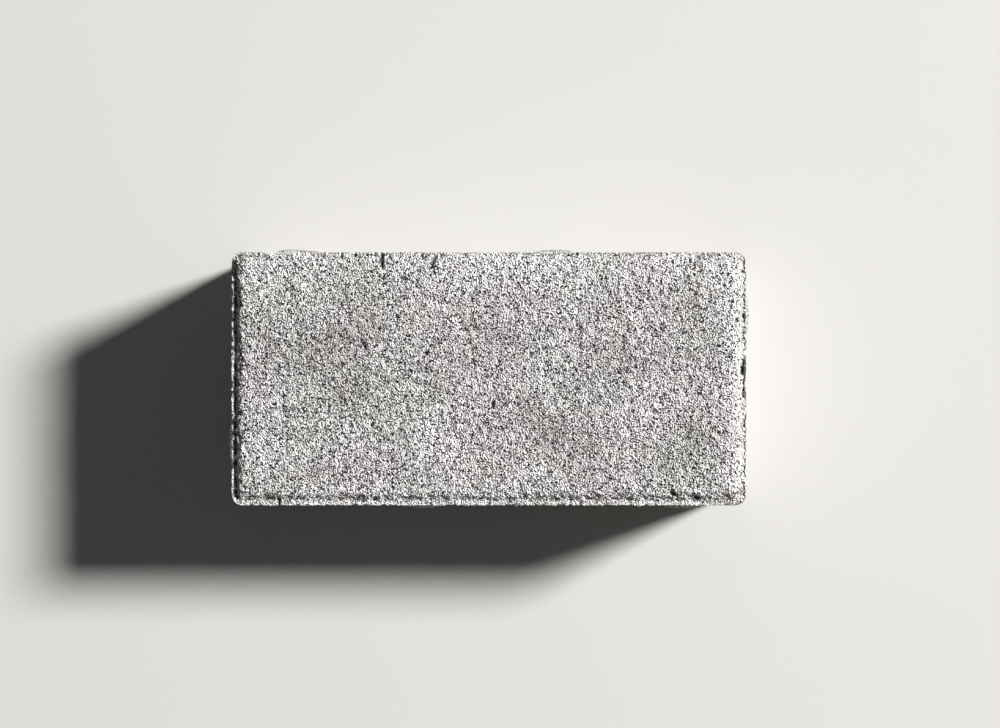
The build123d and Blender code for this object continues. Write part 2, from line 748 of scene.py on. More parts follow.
@dataclass(frozen=True)
class SandRelief:
    """The relief of a sandy facing that a plate has pressed level, in metres.

    The ground that the grains lie on is a little under the plate's level, and hollows and
    pits go down from there. A width is that of one swell or hollow.
    """

    ground_depth: float = 0.1 * MM
    swell_width: float = 3.2 * MM
    swell_depth: float = 0.45 * MM
    grit_width: float = 1.3 * MM
    grit_depth: float = 0.44 * MM
    pit_spacing: float = 6.0 * MM
    pit_radius: float = 0.8 * MM
    pit_depth: float = 0.9 * MM
    crease_width: float = 1.7 * MM
    crease_depth: float = 1.0 * MM
    bead_width: float = 1.8 * MM
    bead_depth: float = 0.6 * MM
    crumble_width: float = 1.1 * MM
    crumble_depth: float = 0.25 * MM
    bite_width: float = 4.6 * MM
    bite_depth: float = 0.5 * MM
    wall_width: float = 2.6 * MM
    wall_depth: float = 0.4 * MM
    drag_width: float = 3.0 * MM
    drag_length: float = 40.0 * MM
    drag_depth: float = 0.35 * MM
    void_spacing: float = 8.0 * MM
    void_radius: float = 2.0 * MM
    void_depth: float = 1.2 * MM

    DRAG = Hollows("Drag", start=0.70, end=0.30, detail=1.0)
    HOLLOWS = {
        Zone.FACE: (Hollows("Swell", start=0.72, end=0.32), Hollows("Grit", start=0.72, end=0.32)),
        Zone.CREASE: (Hollows("Crease", start=0.70, end=0.45),),
        Zone.ARRIS: (
            Hollows("Bead", start=0.46, end=0.38),
            Hollows("Crumble", start=0.62, end=0.30, detail=1.0),
            Hollows("Bite", start=0.34, end=0.20),
        ),
        Zone.WALL: (Hollows("Wall", start=0.66, end=0.30, detail=2.0), DRAG),
    }
    POCKETS = {Zone.FACE: "Pit", Zone.WALL: "Void"}
    # The zones whose depth is also painted as shade in the concrete's colour
    SHADED = (Zone.FACE, Zone.CREASE)
    # The upward part of its normal at which a wall begins to count as face, and is all face
    LIFT_START = 0.15
    LIFT_END = 0.45
    POCKET_WOBBLE = 0.35
    POCKET_WOBBLE_SCALE = 3.0
    POCKET_WOBBLE_DETAIL = 1.0
    SMALL_POCKET_BIAS = 2.0

    def sizes(self) -> dict[str, float]:
        """The relief's sizes, by the name of the tree's input that takes each."""
        return {size.name.replace("_", " ").title(): getattr(self, size.name) for size in fields(self)}

    def values(self, solid: bpy.types.Object, material: bpy.types.Material) -> dict:
        """The tree's input values, by name."""
        return {"Frame Solid": solid, "Material": material, **self.sizes()}

    @staticmethod
    def hollows(tree: bpy.types.NodeTree, place: Feed, width: Feed, depth: Feed,
                kind: Hollows) -> bpy.types.Node:
        """Adds soft hollows, with level ground wherever the pattern stays above its start.

        Args:
            tree: The relief's tree.
            place: What gives each point's place.
            width: The width of one swell of the pattern, or a vector of widths.
            depth: The depth of a full hollow.
            kind: The pattern's start, end and detail.

        Returns:
            The node that gives the depth.
        """
        spread = add_node(tree, "ShaderNodeVectorMath", {0: place, 1: width}, operation="DIVIDE")
        swell = add_node(tree, "ShaderNodeTexNoise", {
            "Vector": spread, "Scale": 1.0, "Detail": kind.detail,
        })
        return add_node(tree, "ShaderNodeMapRange", {
            "Value": swell.outputs["Fac"], "From Min": kind.start, "From Max": kind.end,
            "To Min": 0.0, "To Max": depth,
        })

    @classmethod
    def pockets(cls, tree: bpy.types.NodeTree, place: Feed, spacing: Feed, radius: Feed,
                depth: Feed) -> bpy.types.Node:
        """Adds ragged pockets of many sizes, one to each cell of a scattered pattern.

        Args:
            tree: The relief's tree.
            place: What gives each point's place.
            spacing: The usual distance between pockets.
            radius: The largest pocket's radius.
            depth: The depth at a pocket's middle.

        Returns:
            The node that gives the depth.
        """
        spread = add_node(tree, "ShaderNodeVectorMath", {0: place, 1: spacing}, operation="DIVIDE")
        wobble = add_node(tree, "ShaderNodeTexNoise", {
            "Vector": spread, "Scale": cls.POCKET_WOBBLE_SCALE, "Detail": cls.POCKET_WOBBLE_DETAIL,
        })
        moved = add_node(tree, "ShaderNodeVectorMath", {
            0: wobble.outputs["Color"], 1: (cls.POCKET_WOBBLE,) * 3, 2: spread,
        }, operation="MULTIPLY_ADD")
        cells = add_node(tree, "ShaderNodeTexVoronoi", {"Vector": moved, "Scale": 1.0}, feature="F1")
        away = add_node(tree, "ShaderNodeMath", {
            0: cells.outputs["Distance"], 1: spacing,
        }, operation="MULTIPLY")
        chance = add_node(tree, "ShaderNodeSeparateXYZ", {"Vector": cells.outputs["Color"]})
        mostly_small = add_node(tree, "ShaderNodeMath", {
            0: chance.outputs["X"], 1: cls.SMALL_POCKET_BIAS,
        }, operation="POWER")
        wide = add_node(tree, "ShaderNodeMath", {0: mostly_small, 1: radius}, operation="MULTIPLY")
        return add_node(tree, "ShaderNodeMapRange", {
            "Value": away, "From Min": wide, "From Max": 0.0, "To Min": 0.0, "To Max": depth,
        }, interpolation_type="SMOOTHSTEP")

    def dress_nib_tops(self, tree: bpy.types.NodeTree, seated: bpy.types.Node) -> bpy.types.Node:
        """Marks the parts of the walls that face upwards, such as the nibs' tops, as face.

        Args:
            tree: The relief's tree.
            seated: The node that gives the skin on the frame's solid.

        Returns:
            The node that gives the skin with its marks.
        """
        normal = add_node(tree, "GeometryNodeInputNormal")
        upwards = add_node(tree, "ShaderNodeSeparateXYZ", {"Vector": normal})
        lifted = add_node(tree, "ShaderNodeMapRange", {
            "Value": upwards.outputs["Z"], "From Min": self.LIFT_START, "From Max": self.LIFT_END,
            "To Min": 0.0, "To Max": 1.0,
        })
        face, wall = (
            add_node(tree, "GeometryNodeInputNamedAttribute", {"Name": zone.value}, data_type="FLOAT")
            for zone in (Zone.FACE, Zone.WALL)
        )
        gained = add_node(tree, "ShaderNodeMath", {0: wall, 1: lifted, 2: face}, operation="MULTIPLY_ADD")
        on_face = add_node(tree, "GeometryNodeStoreNamedAttribute", {
            "Geometry": seated, "Name": Zone.FACE.value, "Value": gained,
        }, data_type="FLOAT", domain="POINT")
        upright = add_node(tree, "ShaderNodeMath", {0: 1.0, 1: lifted}, operation="SUBTRACT")
        kept = add_node(tree, "ShaderNodeMath", {0: wall, 1: upright}, operation="MULTIPLY")
        return add_node(tree, "GeometryNodeStoreNamedAttribute", {
            "Geometry": on_face, "Name": Zone.WALL.value, "Value": kept,
        }, data_type="FLOAT", domain="POINT")

    def patterns(self, tree: bpy.types.NodeTree, size: bpy.types.NodeOutputs) -> dict[Zone, list]:
        """Adds each zone's patterns of depth.

        Args:
            tree: The relief's tree.
            size: The tree's inputs.

        Returns:
            The nodes that give each zone's depths.
        """
        place = add_node(tree, "GeometryNodeInputPosition")
        down_the_wall = add_node(tree, "ShaderNodeCombineXYZ", {
            "X": size["Drag Width"], "Y": size["Drag Width"], "Z": size["Drag Length"],
        })
        found = {zone: [] for zone in Zone}
        for zone, kinds in self.HOLLOWS.items():
            for kind in kinds:
                width = down_the_wall if kind is self.DRAG else size[f"{kind.name} Width"]
                found[zone].append(self.hollows(tree, place, width, size[f"{kind.name} Depth"], kind))
        for zone, name in self.POCKETS.items():
            sizes = [size[f"{name} {what}"] for what in ("Spacing", "Radius", "Depth")]
            found[zone].append(self.pockets(tree, place, *sizes))
        found[Zone.BED] = found[Zone.WALL]
        return found

    def tree(self) -> bpy.types.NodeTree:
        """Builds the tree that seats the skin on the frame's solid and sinks the relief into it.

        Returns:
            The tree, with one input for each size.
        """
        tree, given = new_geometry_tree("Sand Relief", {
            "Geometry": "NodeSocketGeometry", "Frame Solid": "NodeSocketObject",
            **dict.fromkeys(self.sizes(), "NodeSocketFloat"), "Material": "NodeSocketMaterial",
        })
        size = given.outputs
        solid = add_node(tree, "GeometryNodeObjectInfo", {"Object": size["Frame Solid"]})
        place = add_node(tree, "GeometryNodeInputPosition")
        seat = add_node(tree, "GeometryNodeProximity", {
            "Geometry": solid.outputs["Geometry"], "Sample Position": place,
        }, target_element="FACES")
        seated = add_node(tree, "GeometryNodeSetPosition", {"Geometry": size["Geometry"], "Position": seat})
        seated = self.dress_nib_tops(tree, seated)
        bed = add_node(tree, "GeometryNodeInputNamedAttribute", {"Name": Zone.BED.value}, data_type="FLOAT")
        above_bed = add_node(tree, "ShaderNodeMath", {0: 1.0, 1: bed}, operation="SUBTRACT")
        depth = add_node(tree, "ShaderNodeMath", {
            0: above_bed, 1: size["Ground Depth"],
        }, operation="MULTIPLY")
        painted_shade_depth = depth
        for zone, patterns in self.patterns(tree, size).items():
            mark = add_node(tree, "GeometryNodeInputNamedAttribute", {"Name": zone.value}, data_type="FLOAT")
            for pattern in patterns:
                depth = add_node(tree, "ShaderNodeMath", {
                    0: mark, 1: pattern, 2: depth,
                }, operation="MULTIPLY_ADD")
            if zone in self.SHADED:
                painted_shade_depth = depth
        # The depth of the face and crease, which the concrete paints as shade
        noted = add_node(tree, "GeometryNodeStoreNamedAttribute", {
            "Geometry": seated, "Name": Note.DEPTH.value, "Value": painted_shade_depth,
        }, data_type="FLOAT", domain="POINT")
        inwards = add_node(tree, "ShaderNodeMath", {0: depth, 1: -1.0}, operation="MULTIPLY")
        normal = add_node(tree, "GeometryNodeInputNormal")
        offset = add_node(tree, "ShaderNodeVectorMath", {0: normal, "Scale": inwards}, operation="SCALE")
        sunk = add_node(tree, "GeometryNodeSetPosition", {"Geometry": noted, "Offset": offset})
        real = add_node(tree, "GeometryNodeRealizeInstances", {"Geometry": sunk})
        dressed = add_node(tree, "GeometryNodeSetMaterial", {"Geometry": real, "Material": size["Material"]})
        add_node(tree, "NodeGroupOutput", {"Geometry": dressed})
        return tree


@dataclass(frozen=True)
class Mark:
    """A dent, notch, stain or soft patch in the top, as a stroke between two pixels of the picture.

    Its radius and depth are in metres. A stain is a share of ochre, and a tone makes the
    paste paler, or darker where it is negative.
    """

    start: tuple[float, float]
    end: tuple[float, float]
    radius: float
    depth: float = 0.0
    stain: float = 0.0
    tone: float = 0.0

    # How many times its own depth a mark reaches down below the ledge
    LOWER_REACH = 2.5
    SHORTEST_RUN = 0.001 * MM

    @staticmethod
    def place(pixel: tuple[float, float]) -> np.ndarray:
        """Finds the stone's place under a pixel of the picture, at the wearing face.

        Args:
            pixel: The pixel, from the picture's left and top.

        Returns:
            X and Y, in metres.
        """
        scale = PICTURE_WIDTH / IMAGE_WIDTH
        return np.array([
            PICTURE_CENTRE[0] + (pixel[0] - IMAGE_WIDTH / 2) * scale,
            PICTURE_CENTRE[1] - (pixel[1] - IMAGE_HEIGHT / 2) * scale,
        ])

    def strength(self, points: np.ndarray, ledge_level: float) -> np.ndarray:
        """How strongly the mark takes hold of each point, from 0 to 1.

        Args:
            points: The skin's points.
            ledge_level: The level of the ledge. Below it the mark fades out, so that the wall
                under a notch sinks with it and never folds.

        Returns:
            One share for each point.
        """
        start = self.place(self.start)
        run = self.place(self.end) - start
        flat = points[:, :2] - start
        share = np.clip(flat @ run / max(float(run @ run), self.SHORTEST_RUN ** 2), 0, 1)
        away = np.linalg.norm(flat - share[:, None] * run, axis=1)
        # A smooth step, so that no mark has a sharp rim
        hold = np.clip(1 - away / self.radius, 0, 1)
        below = np.maximum(ledge_level - points[:, 2], 0)
        fade = np.clip(1 - below / (self.LOWER_REACH * max(self.depth, MM)), 0, 1)
        return hold * hold * (3 - 2 * hold) * fade


@dataclass(frozen=True)
class Wear:
    """The single marks that the picture shows on this stone's top, placed by its pixels."""

    notches: tuple[Mark, ...] = (
        Mark((341, 252), (342, 258), radius=0.8 * MM, depth=1.2 * MM),
        Mark((355, 252), (355, 256), radius=0.7 * MM, depth=0.9 * MM),
        Mark((375, 253), (376, 260), radius=0.7 * MM, depth=0.8 * MM),
        Mark((382, 252), (382, 268), radius=0.9 * MM, depth=1.1 * MM),
        Mark((389, 256), (394, 263), radius=0.7 * MM, depth=0.8 * MM),
        Mark((408, 260), (412, 265), radius=0.7 * MM, depth=0.8 * MM),
        Mark((421, 252), (423, 258), radius=0.8 * MM, depth=1.0 * MM),
        Mark((436, 256), (431, 268), radius=0.8 * MM, depth=1.0 * MM),
        Mark((278, 499), (279, 507), radius=0.7 * MM, depth=1.6 * MM),
        Mark((744, 315), (744, 317), radius=1.0 * MM, depth=1.3 * MM),
        Mark((737, 319), (739, 321), radius=0.9 * MM, depth=1.1 * MM),
        Mark((744, 331), (744, 334), radius=0.8 * MM, depth=1.0 * MM),
        Mark((744, 360), (744, 364), radius=0.9 * MM, depth=1.1 * MM),
        Mark((743, 367), (743, 373), radius=1.1 * MM, depth=1.6 * MM),
        Mark((744, 382), (744, 397), radius=0.8 * MM, depth=1.0 * MM),
        Mark((231, 262), (231, 275), radius=0.9 * MM, depth=1.2 * MM),
        Mark((231, 291), (231, 293), radius=0.8 * MM, depth=1.0 * MM),
        Mark((231, 432), (231, 435), radius=0.8 * MM, depth=1.0 * MM),
    )
    pits: tuple[Mark, ...] = (
        Mark((414, 311), (415, 313), radius=0.7 * MM, depth=0.9 * MM),
        Mark((396, 315), (397, 317), radius=0.7 * MM, depth=0.9 * MM),
        Mark((425, 352), (427, 355), radius=0.7 * MM, depth=0.9 * MM),
        Mark((362, 342), (367, 350), radius=0.7 * MM, depth=0.8 * MM),
        Mark((472, 353), (473, 361), radius=0.7 * MM, depth=0.9 * MM),
        Mark((492, 402), (494, 408), radius=0.7 * MM, depth=1.0 * MM),
        Mark((672, 493), (673, 494), radius=1.3 * MM, depth=1.6 * MM),
        Mark((696, 497), (699, 498), radius=1.0 * MM, depth=1.2 * MM),
    )
    stains: tuple[Mark, ...] = (
        Mark((640, 450), (644, 452), radius=4.0 * MM, stain=0.3),
        Mark((266, 496), (275, 496), radius=2.2 * MM, depth=0.45 * MM, stain=0.5, tone=-1.0),
        Mark((336, 497), (342, 498), radius=1.6 * MM, depth=0.3 * MM, stain=0.35, tone=-0.5),
        Mark((719, 498), (722, 498), radius=2.5 * MM, stain=0.35),
    )
    patches: tuple[Mark, ...] = (
        Mark((318, 332), (356, 342), radius=14 * MM, tone=-0.5),
        Mark((346, 398), (360, 384), radius=12 * MM, tone=-0.6),
        Mark((306, 355), (330, 400), radius=12 * MM, tone=-0.3),
        Mark((430, 372), (440, 388), radius=10 * MM, tone=-0.4),
        Mark((482, 306), (500, 350), radius=12 * MM, tone=-0.15),
        Mark((530, 405), (540, 425), radius=10 * MM, tone=-0.6),
        Mark((556, 440), (590, 446), radius=10 * MM, tone=-0.5),
        Mark((614, 364), (622, 350), radius=9 * MM, tone=-0.4),
        Mark((698, 434), (702, 442), radius=9 * MM, tone=-0.4),
        Mark((255, 262), (460, 258), radius=16 * MM, tone=0.35),
        Mark((480, 262), (730, 262), radius=18 * MM, tone=0.55),
        Mark((545, 266), (572, 276), radius=12 * MM, tone=0.35),
        Mark((572, 312), (574, 314), radius=6 * MM, tone=0.6),
        Mark((262, 452), (290, 458), radius=12 * MM, tone=0.45),
        Mark((436, 434), (444, 440), radius=9 * MM, tone=0.35),
        Mark((380, 488), (396, 492), radius=8 * MM, tone=0.35),
        # Painted highlight: the right bevel, which faces the light, painted paler
        Mark((736, 270), (738, 480), radius=7 * MM, tone=0.6),
        Mark((250, 497), (735, 497), radius=5 * MM, tone=0.5),
    )

    def apply(self, mesh: bpy.types.Mesh, ledge_level: float) -> None:
        """Sinks the marks into the skin and notes their depth, stain and tone in its attributes.

        Args:
            mesh: The finished skin.
            ledge_level: The level of the ledge round its top.
        """
        count = len(mesh.vertices)
        points = np.empty(count * 3, np.float32)
        mesh.vertices.foreach_get("co", points)
        points = points.reshape(-1, 3).astype(float)
        depths = np.empty(count, np.float32)
        mesh.attributes[Note.DEPTH.value].data.foreach_get("value", depths)
        stains = np.zeros(count, np.float32)
        tones = np.zeros(count, np.float32)
        for mark in self.notches + self.pits + self.stains + self.patches:
            strength = mark.strength(points, ledge_level)
            points[:, 2] -= strength * mark.depth
            # The noted depth is painted as shade in the concrete's colour
            depths += (strength * mark.depth).astype(np.float32)
            stains = np.maximum(stains, (strength * mark.stain).astype(np.float32))
            tones += (strength * mark.tone).astype(np.float32)
        mesh.vertices.foreach_set("co", points.astype(np.float32).ravel())
        mesh.attributes[Note.DEPTH.value].data.foreach_set("value", depths)
        for note, values in ((Note.STAIN, stains), (Note.TONE, tones)):
            mesh.attributes.new(note.value, "FLOAT", "POINT").data.foreach_set("value", values)
        mesh.update()


@dataclass(frozen=True)
class CoatedSand:
    """Quartz sand under a film of cement, with some bare quartz and dark stone.

    A coated grain is about as grey as the paste, bare quartz is nearly white, and basalt or
    slag is dark, so that most grains melt into the face and a few stand out.
    """

    name: str = "cement_coated_sand"
    tones: tuple[tuple[float, str], ...] = (
        (0.0, "#4B4846"),
        (0.12, "#7F7B78"),
        (0.24, "#ABA7A4"),
        (0.50, "#C4C0BD"),
        (0.80, "#D4D0CD"),
        (0.90, "#C2B5A1"),
        (0.94, "#EFEDEA"),
        (0.98, "#FBFAF8"),
    )
    chip_width: float = 0.6 * MM
    chip_height: float = 0.6 * MM
    roughness: float = 0.85

    def material(self) -> bpy.types.Material:
        """Makes the material, in which each grain's own tone picks its colour.

        Returns:
            The material.
        """
        material, tree = new_material(self.name)
        tone = add_node(tree, "ShaderNodeAttribute", attribute_name=GRAIN_TONE)
        ramp = add_node(tree, "ShaderNodeValToRGB", {"Fac": tone.outputs["Fac"]})
        while len(ramp.color_ramp.elements) < len(self.tones):
            ramp.color_ramp.elements.new(1.0)
        for element, (position, colour) in zip(ramp.color_ramp.elements, self.tones):
            element.position = position
            element.color = linear(colour)
        place = add_node(tree, "ShaderNodeTexCoord").outputs["Object"]
        chips = add_node(tree, "ShaderNodeTexNoise", {
            "Vector": place, "Scale": 1 / self.chip_width, "Detail": 0.0,
        })
        bump = add_node(tree, "ShaderNodeBump", {
            "Strength": 1.0, "Distance": self.chip_height, "Height": chips.outputs["Fac"],
        })
        shader = add_node(tree, "ShaderNodeBsdfPrincipled", {
            "Base Color": ramp.outputs["Color"], "Roughness": self.roughness, "Normal": bump,
        })
        add_node(tree, "ShaderNodeOutputMaterial", {"Surface": shader})
        return material


@dataclass
class Grains:
    """One kind of grain that stands out of the skin, as one joined mesh.

    Each grain is a rough twenty-faced crumb that lies flat on the skin and is partly sunk
    into it. Sizes are in metres, and the count is for one square metre.
    """

    name: str
    zone: Zone
    finish: CoatedSand
    per_square_metre: float
    smallest: float
    largest: float
    flatness: float = 0.6
    sunk_share: float = 0.1
    roughness: float = 0.5
    map_cells: int = 90
    seed: int = 1

    SIZES = {
        "Per Square Metre": "NodeSocketFloat",
        "Smallest": "NodeSocketFloat",
        "Largest": "NodeSocketFloat",
        "Flatness": "NodeSocketFloat",
        "Sunk Share": "NodeSocketFloat",
        "Roughness": "NodeSocketFloat",
        "Map Cells": "NodeSocketInt",
        "Seed": "NodeSocketInt",
    }
    SMALL_GRAIN_BIAS = 2.5
    LEAST_STRETCH = (0.7, 0.7, 0.8)
    MOST_STRETCH = (1.3, 1.3, 1.2)
    CHIPS_PER_METRE = 1.3 / MM
    TONE_SEED = 77
    # The share of its cell of the bake map that a grain fills
    CELL_FILL = (0.8, 0.8, 0.0)
    WIDTH_NOTE = "wide"
    NUMBER_NOTE = "grain"

    def spots(self, tree: bpy.types.NodeTree, size: bpy.types.NodeOutputs) -> bpy.types.Node:
        """Adds the random spots of the seat that carry a grain, all in the grains' zone.

        Args:
            tree: The grains' tree.
            size: The tree's inputs.

        Returns:
            The node that gives the spots, each with its normal and its turn.
        """
        seat = add_node(tree, "GeometryNodeObjectInfo", {"Object": size["Seat"]})
        mark = add_node(tree, "GeometryNodeInputNamedAttribute", {"Name": self.zone.value}, data_type="FLOAT")
        density = add_node(tree, "ShaderNodeMath", {
            0: mark, 1: size["Per Square Metre"],
        }, operation="MULTIPLY")
        return add_node(tree, "GeometryNodeDistributePointsOnFaces", {
            "Mesh": seat.outputs["Geometry"], "Density": density, "Seed": size["Seed"],
        }, distribute_method="RANDOM")

    def widths(self, tree: bpy.types.NodeTree, size: bpy.types.NodeOutputs) -> bpy.types.Node:
        """Adds each grain's own width, which is small for most.

        Args:
            tree: The grains' tree.
            size: The tree's inputs.

        Returns:
            The node that gives the width.
        """
        chance = add_node(tree, "FunctionNodeRandomValue", {
            "Min": 0.0, "Max": 1.0, "Seed": size["Seed"],
        }, data_type="FLOAT")
        mostly_small = add_node(tree, "ShaderNodeMath", {
            0: chance, 1: self.SMALL_GRAIN_BIAS,
        }, operation="POWER")
        return add_node(tree, "ShaderNodeMapRange", {
            "Value": mostly_small, "To Min": size["Smallest"], "To Max": size["Largest"],
        })

    def crumbs(self, tree: bpy.types.NodeTree, size: bpy.types.NodeOutputs, spots: bpy.types.Node,
               wide: bpy.types.Node) -> bpy.types.Node:
        """Lays a crumb on each spot, turned and stretched its own way and partly sunk.

        Args:
            tree: The grains' tree.
            size: The tree's inputs.
            spots: The node that gives the spots.
            wide: The node that gives each grain's width.

        Returns:
            The node that gives the crumbs, as instances.
        """
        sink = add_node(tree, "ShaderNodeMath", {0: wide, 1: size["Sunk Share"]}, operation="MULTIPLY")
        downwards = add_node(tree, "ShaderNodeMath", {0: sink, 1: -1.0}, operation="MULTIPLY")
        sinking = add_node(tree, "ShaderNodeVectorMath", {
            0: spots.outputs["Normal"], "Scale": downwards,
        }, operation="SCALE")
        sunk = add_node(tree, "GeometryNodeSetPosition", {
            "Geometry": spots.outputs["Points"], "Offset": sinking,
        })
        # A crumb is 1 wide, so its scale is its width
        crumb = add_node(tree, "GeometryNodeMeshIcoSphere", {"Radius": 0.5, "Subdivisions": 1})
        with_map = add_node(tree, "GeometryNodeStoreNamedAttribute", {
            "Geometry": crumb.outputs["Mesh"], "Name": BAKE_MAP, "Value": crumb.outputs["UV Map"],
        }, data_type="FLOAT2", domain="CORNER")
        spin = add_node(tree, "FunctionNodeRandomValue", {
            "Min": (0.0, 0.0, 0.0), "Max": (0.0, 0.0, math.tau), "Seed": size["Seed"],
        }, data_type="FLOAT_VECTOR")
        turn = add_node(tree, "FunctionNodeRotateRotation", {
            "Rotation": spots.outputs["Rotation"], "Rotate By": spin,
        }, rotation_space="LOCAL")
        stretch = add_node(tree, "FunctionNodeRandomValue", {
            "Min": self.LEAST_STRETCH, "Max": self.MOST_STRETCH, "Seed": size["Seed"],
        }, data_type="FLOAT_VECTOR")
        flat = add_node(tree, "ShaderNodeCombineXYZ", {"X": 1.0, "Y": 1.0, "Z": size["Flatness"]})
        form = add_node(tree, "ShaderNodeVectorMath", {0: stretch, 1: flat}, operation="MULTIPLY")
        scale = add_node(tree, "ShaderNodeVectorMath", {0: form, "Scale": wide}, operation="SCALE")
        return add_node(tree, "GeometryNodeInstanceOnPoints", {
            "Points": sunk, "Instance": with_map, "Rotation": turn, "Scale": scale,
        })

    def noted(self, tree: bpy.types.NodeTree, crumbs: bpy.types.Node,
              wide: bpy.types.Node) -> bpy.types.Node:
        """Notes each crumb's tone, width and number, and makes the crumbs real.

        Args:
            tree: The grains' tree.
            crumbs: The node that gives the crumbs, as instances.
            wide: The node that gives each grain's width.

        Returns:
            The node that gives the grains as one mesh.
        """
        number = add_node(tree, "GeometryNodeInputIndex")
        tone = add_node(tree, "FunctionNodeRandomValue", {
            "Min": 0.0, "Max": 1.0, "Seed": self.TONE_SEED,
        }, data_type="FLOAT")
        for label, source, data_type in (
            (GRAIN_TONE, tone, "FLOAT"),
            (self.WIDTH_NOTE, wide, "FLOAT"),
            (self.NUMBER_NOTE, number, "INT"),
        ):
            crumbs = add_node(tree, "GeometryNodeStoreNamedAttribute", {
                "Geometry": crumbs, "Name": label, "Value": source,
            }, data_type=data_type, domain="INSTANCE")
        return add_node(tree, "GeometryNodeRealizeInstances", {"Geometry": crumbs})

    def chipped(self, tree: bpy.types.NodeTree, size: bpy.types.NodeOutputs,
                grains: bpy.types.Node) -> bpy.types.Node:
        """Knocks each grain out of shape, by a share of its own width.

        Args:
            tree: The grains' tree.
            size: The tree's inputs.
            grains: The node that gives the grains.

        Returns:
            The node that gives the rough grains.
        """
        width = add_node(tree, "GeometryNodeInputNamedAttribute", {
            "Name": self.WIDTH_NOTE,
        }, data_type="FLOAT")
        chips = add_node(tree, "ShaderNodeTexNoise", {"Scale": self.CHIPS_PER_METRE, "Detail": 0.0})
        centred = add_node(tree, "ShaderNodeVectorMath", {
            0: chips.outputs["Color"], 1: MIDDLE_COLOUR,
        }, operation="SUBTRACT")
        reach = add_node(tree, "ShaderNodeMath", {0: width, 1: size["Roughness"]}, operation="MULTIPLY")
        chipping = add_node(tree, "ShaderNodeVectorMath", {0: centred, "Scale": reach}, operation="SCALE")
        return add_node(tree, "GeometryNodeSetPosition", {"Geometry": grains, "Offset": chipping})

    def mapped(self, tree: bpy.types.NodeTree, size: bpy.types.NodeOutputs,
               grains: bpy.types.Node) -> bpy.types.Node:
        """Gives each grain a cell of its own on the bake map, by its number.

        Args:
            tree: The grains' tree.
            size: The tree's inputs.
            grains: The node that gives the grains.

        Returns:
            The node that gives the mapped grains.
        """
        own_map, number = (
            add_node(tree, "GeometryNodeInputNamedAttribute", {"Name": name}, data_type=data_type)
            for name, data_type in ((BAKE_MAP, "FLOAT_VECTOR"), (self.NUMBER_NOTE, "INT"))
        )
        column, exact_row = (
            add_node(tree, "ShaderNodeMath", {0: number, 1: size["Map Cells"]}, operation=operation)
            for operation in ("MODULO", "DIVIDE")
        )
        row = add_node(tree, "ShaderNodeMath", {0: exact_row}, operation="FLOOR")
        cell = add_node(tree, "ShaderNodeCombineXYZ", {"X": column, "Y": row})
        inner = add_node(tree, "ShaderNodeVectorMath", {
            0: own_map, 1: self.CELL_FILL, 2: cell,
        }, operation="MULTIPLY_ADD")
        on_map = add_node(tree, "ShaderNodeVectorMath", {0: inner, 1: size["Map Cells"]}, operation="DIVIDE")
        return add_node(tree, "GeometryNodeStoreNamedAttribute", {
            "Geometry": grains, "Name": BAKE_MAP, "Value": on_map,
        }, data_type="FLOAT2", domain="CORNER")

    def tree(self) -> bpy.types.NodeTree:
        """Builds the tree that scatters the grains over their zone of the seat.

        Returns:
            The tree, with one input for each size.
        """
        tree, given = new_geometry_tree("Grains", {
            "Geometry": "NodeSocketGeometry", "Seat": "NodeSocketObject",
            **self.SIZES, "Material": "NodeSocketMaterial",
        })
        size = given.outputs
        wide = self.widths(tree, size)
        crumbs = self.crumbs(tree, size, self.spots(tree, size), wide)
        grains = self.chipped(tree, size, self.noted(tree, crumbs, wide))
        faceted = add_node(tree, "GeometryNodeSetShadeSmooth", {
            "Geometry": self.mapped(tree, size, grains), "Shade Smooth": False,
        })
        dressed = add_node(tree, "GeometryNodeSetMaterial", {
            "Geometry": faceted, "Material": size["Material"],
        })
        add_node(tree, "NodeGroupOutput", {"Geometry": dressed})
        return tree

    def build(self, seat: bpy.types.Object) -> bpy.types.Object:
        """Scatters the grains over the seat.

        Args:
            seat: The finished skin, with its zones marked.

        Returns:
            The joined grains, inside the frame's box.
        """
        holder = new_object(self.name, bpy.data.meshes.new(self.name))
        sizes = {label: getattr(self, label.lower().replace(" ", "_")) for label in self.SIZES}
        apply_tree(holder, self.tree(), {"Seat": seat, "Material": self.finish.material(), **sizes})
        keep_in_box(holder.data, *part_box(NODE_NAME))
        return holder


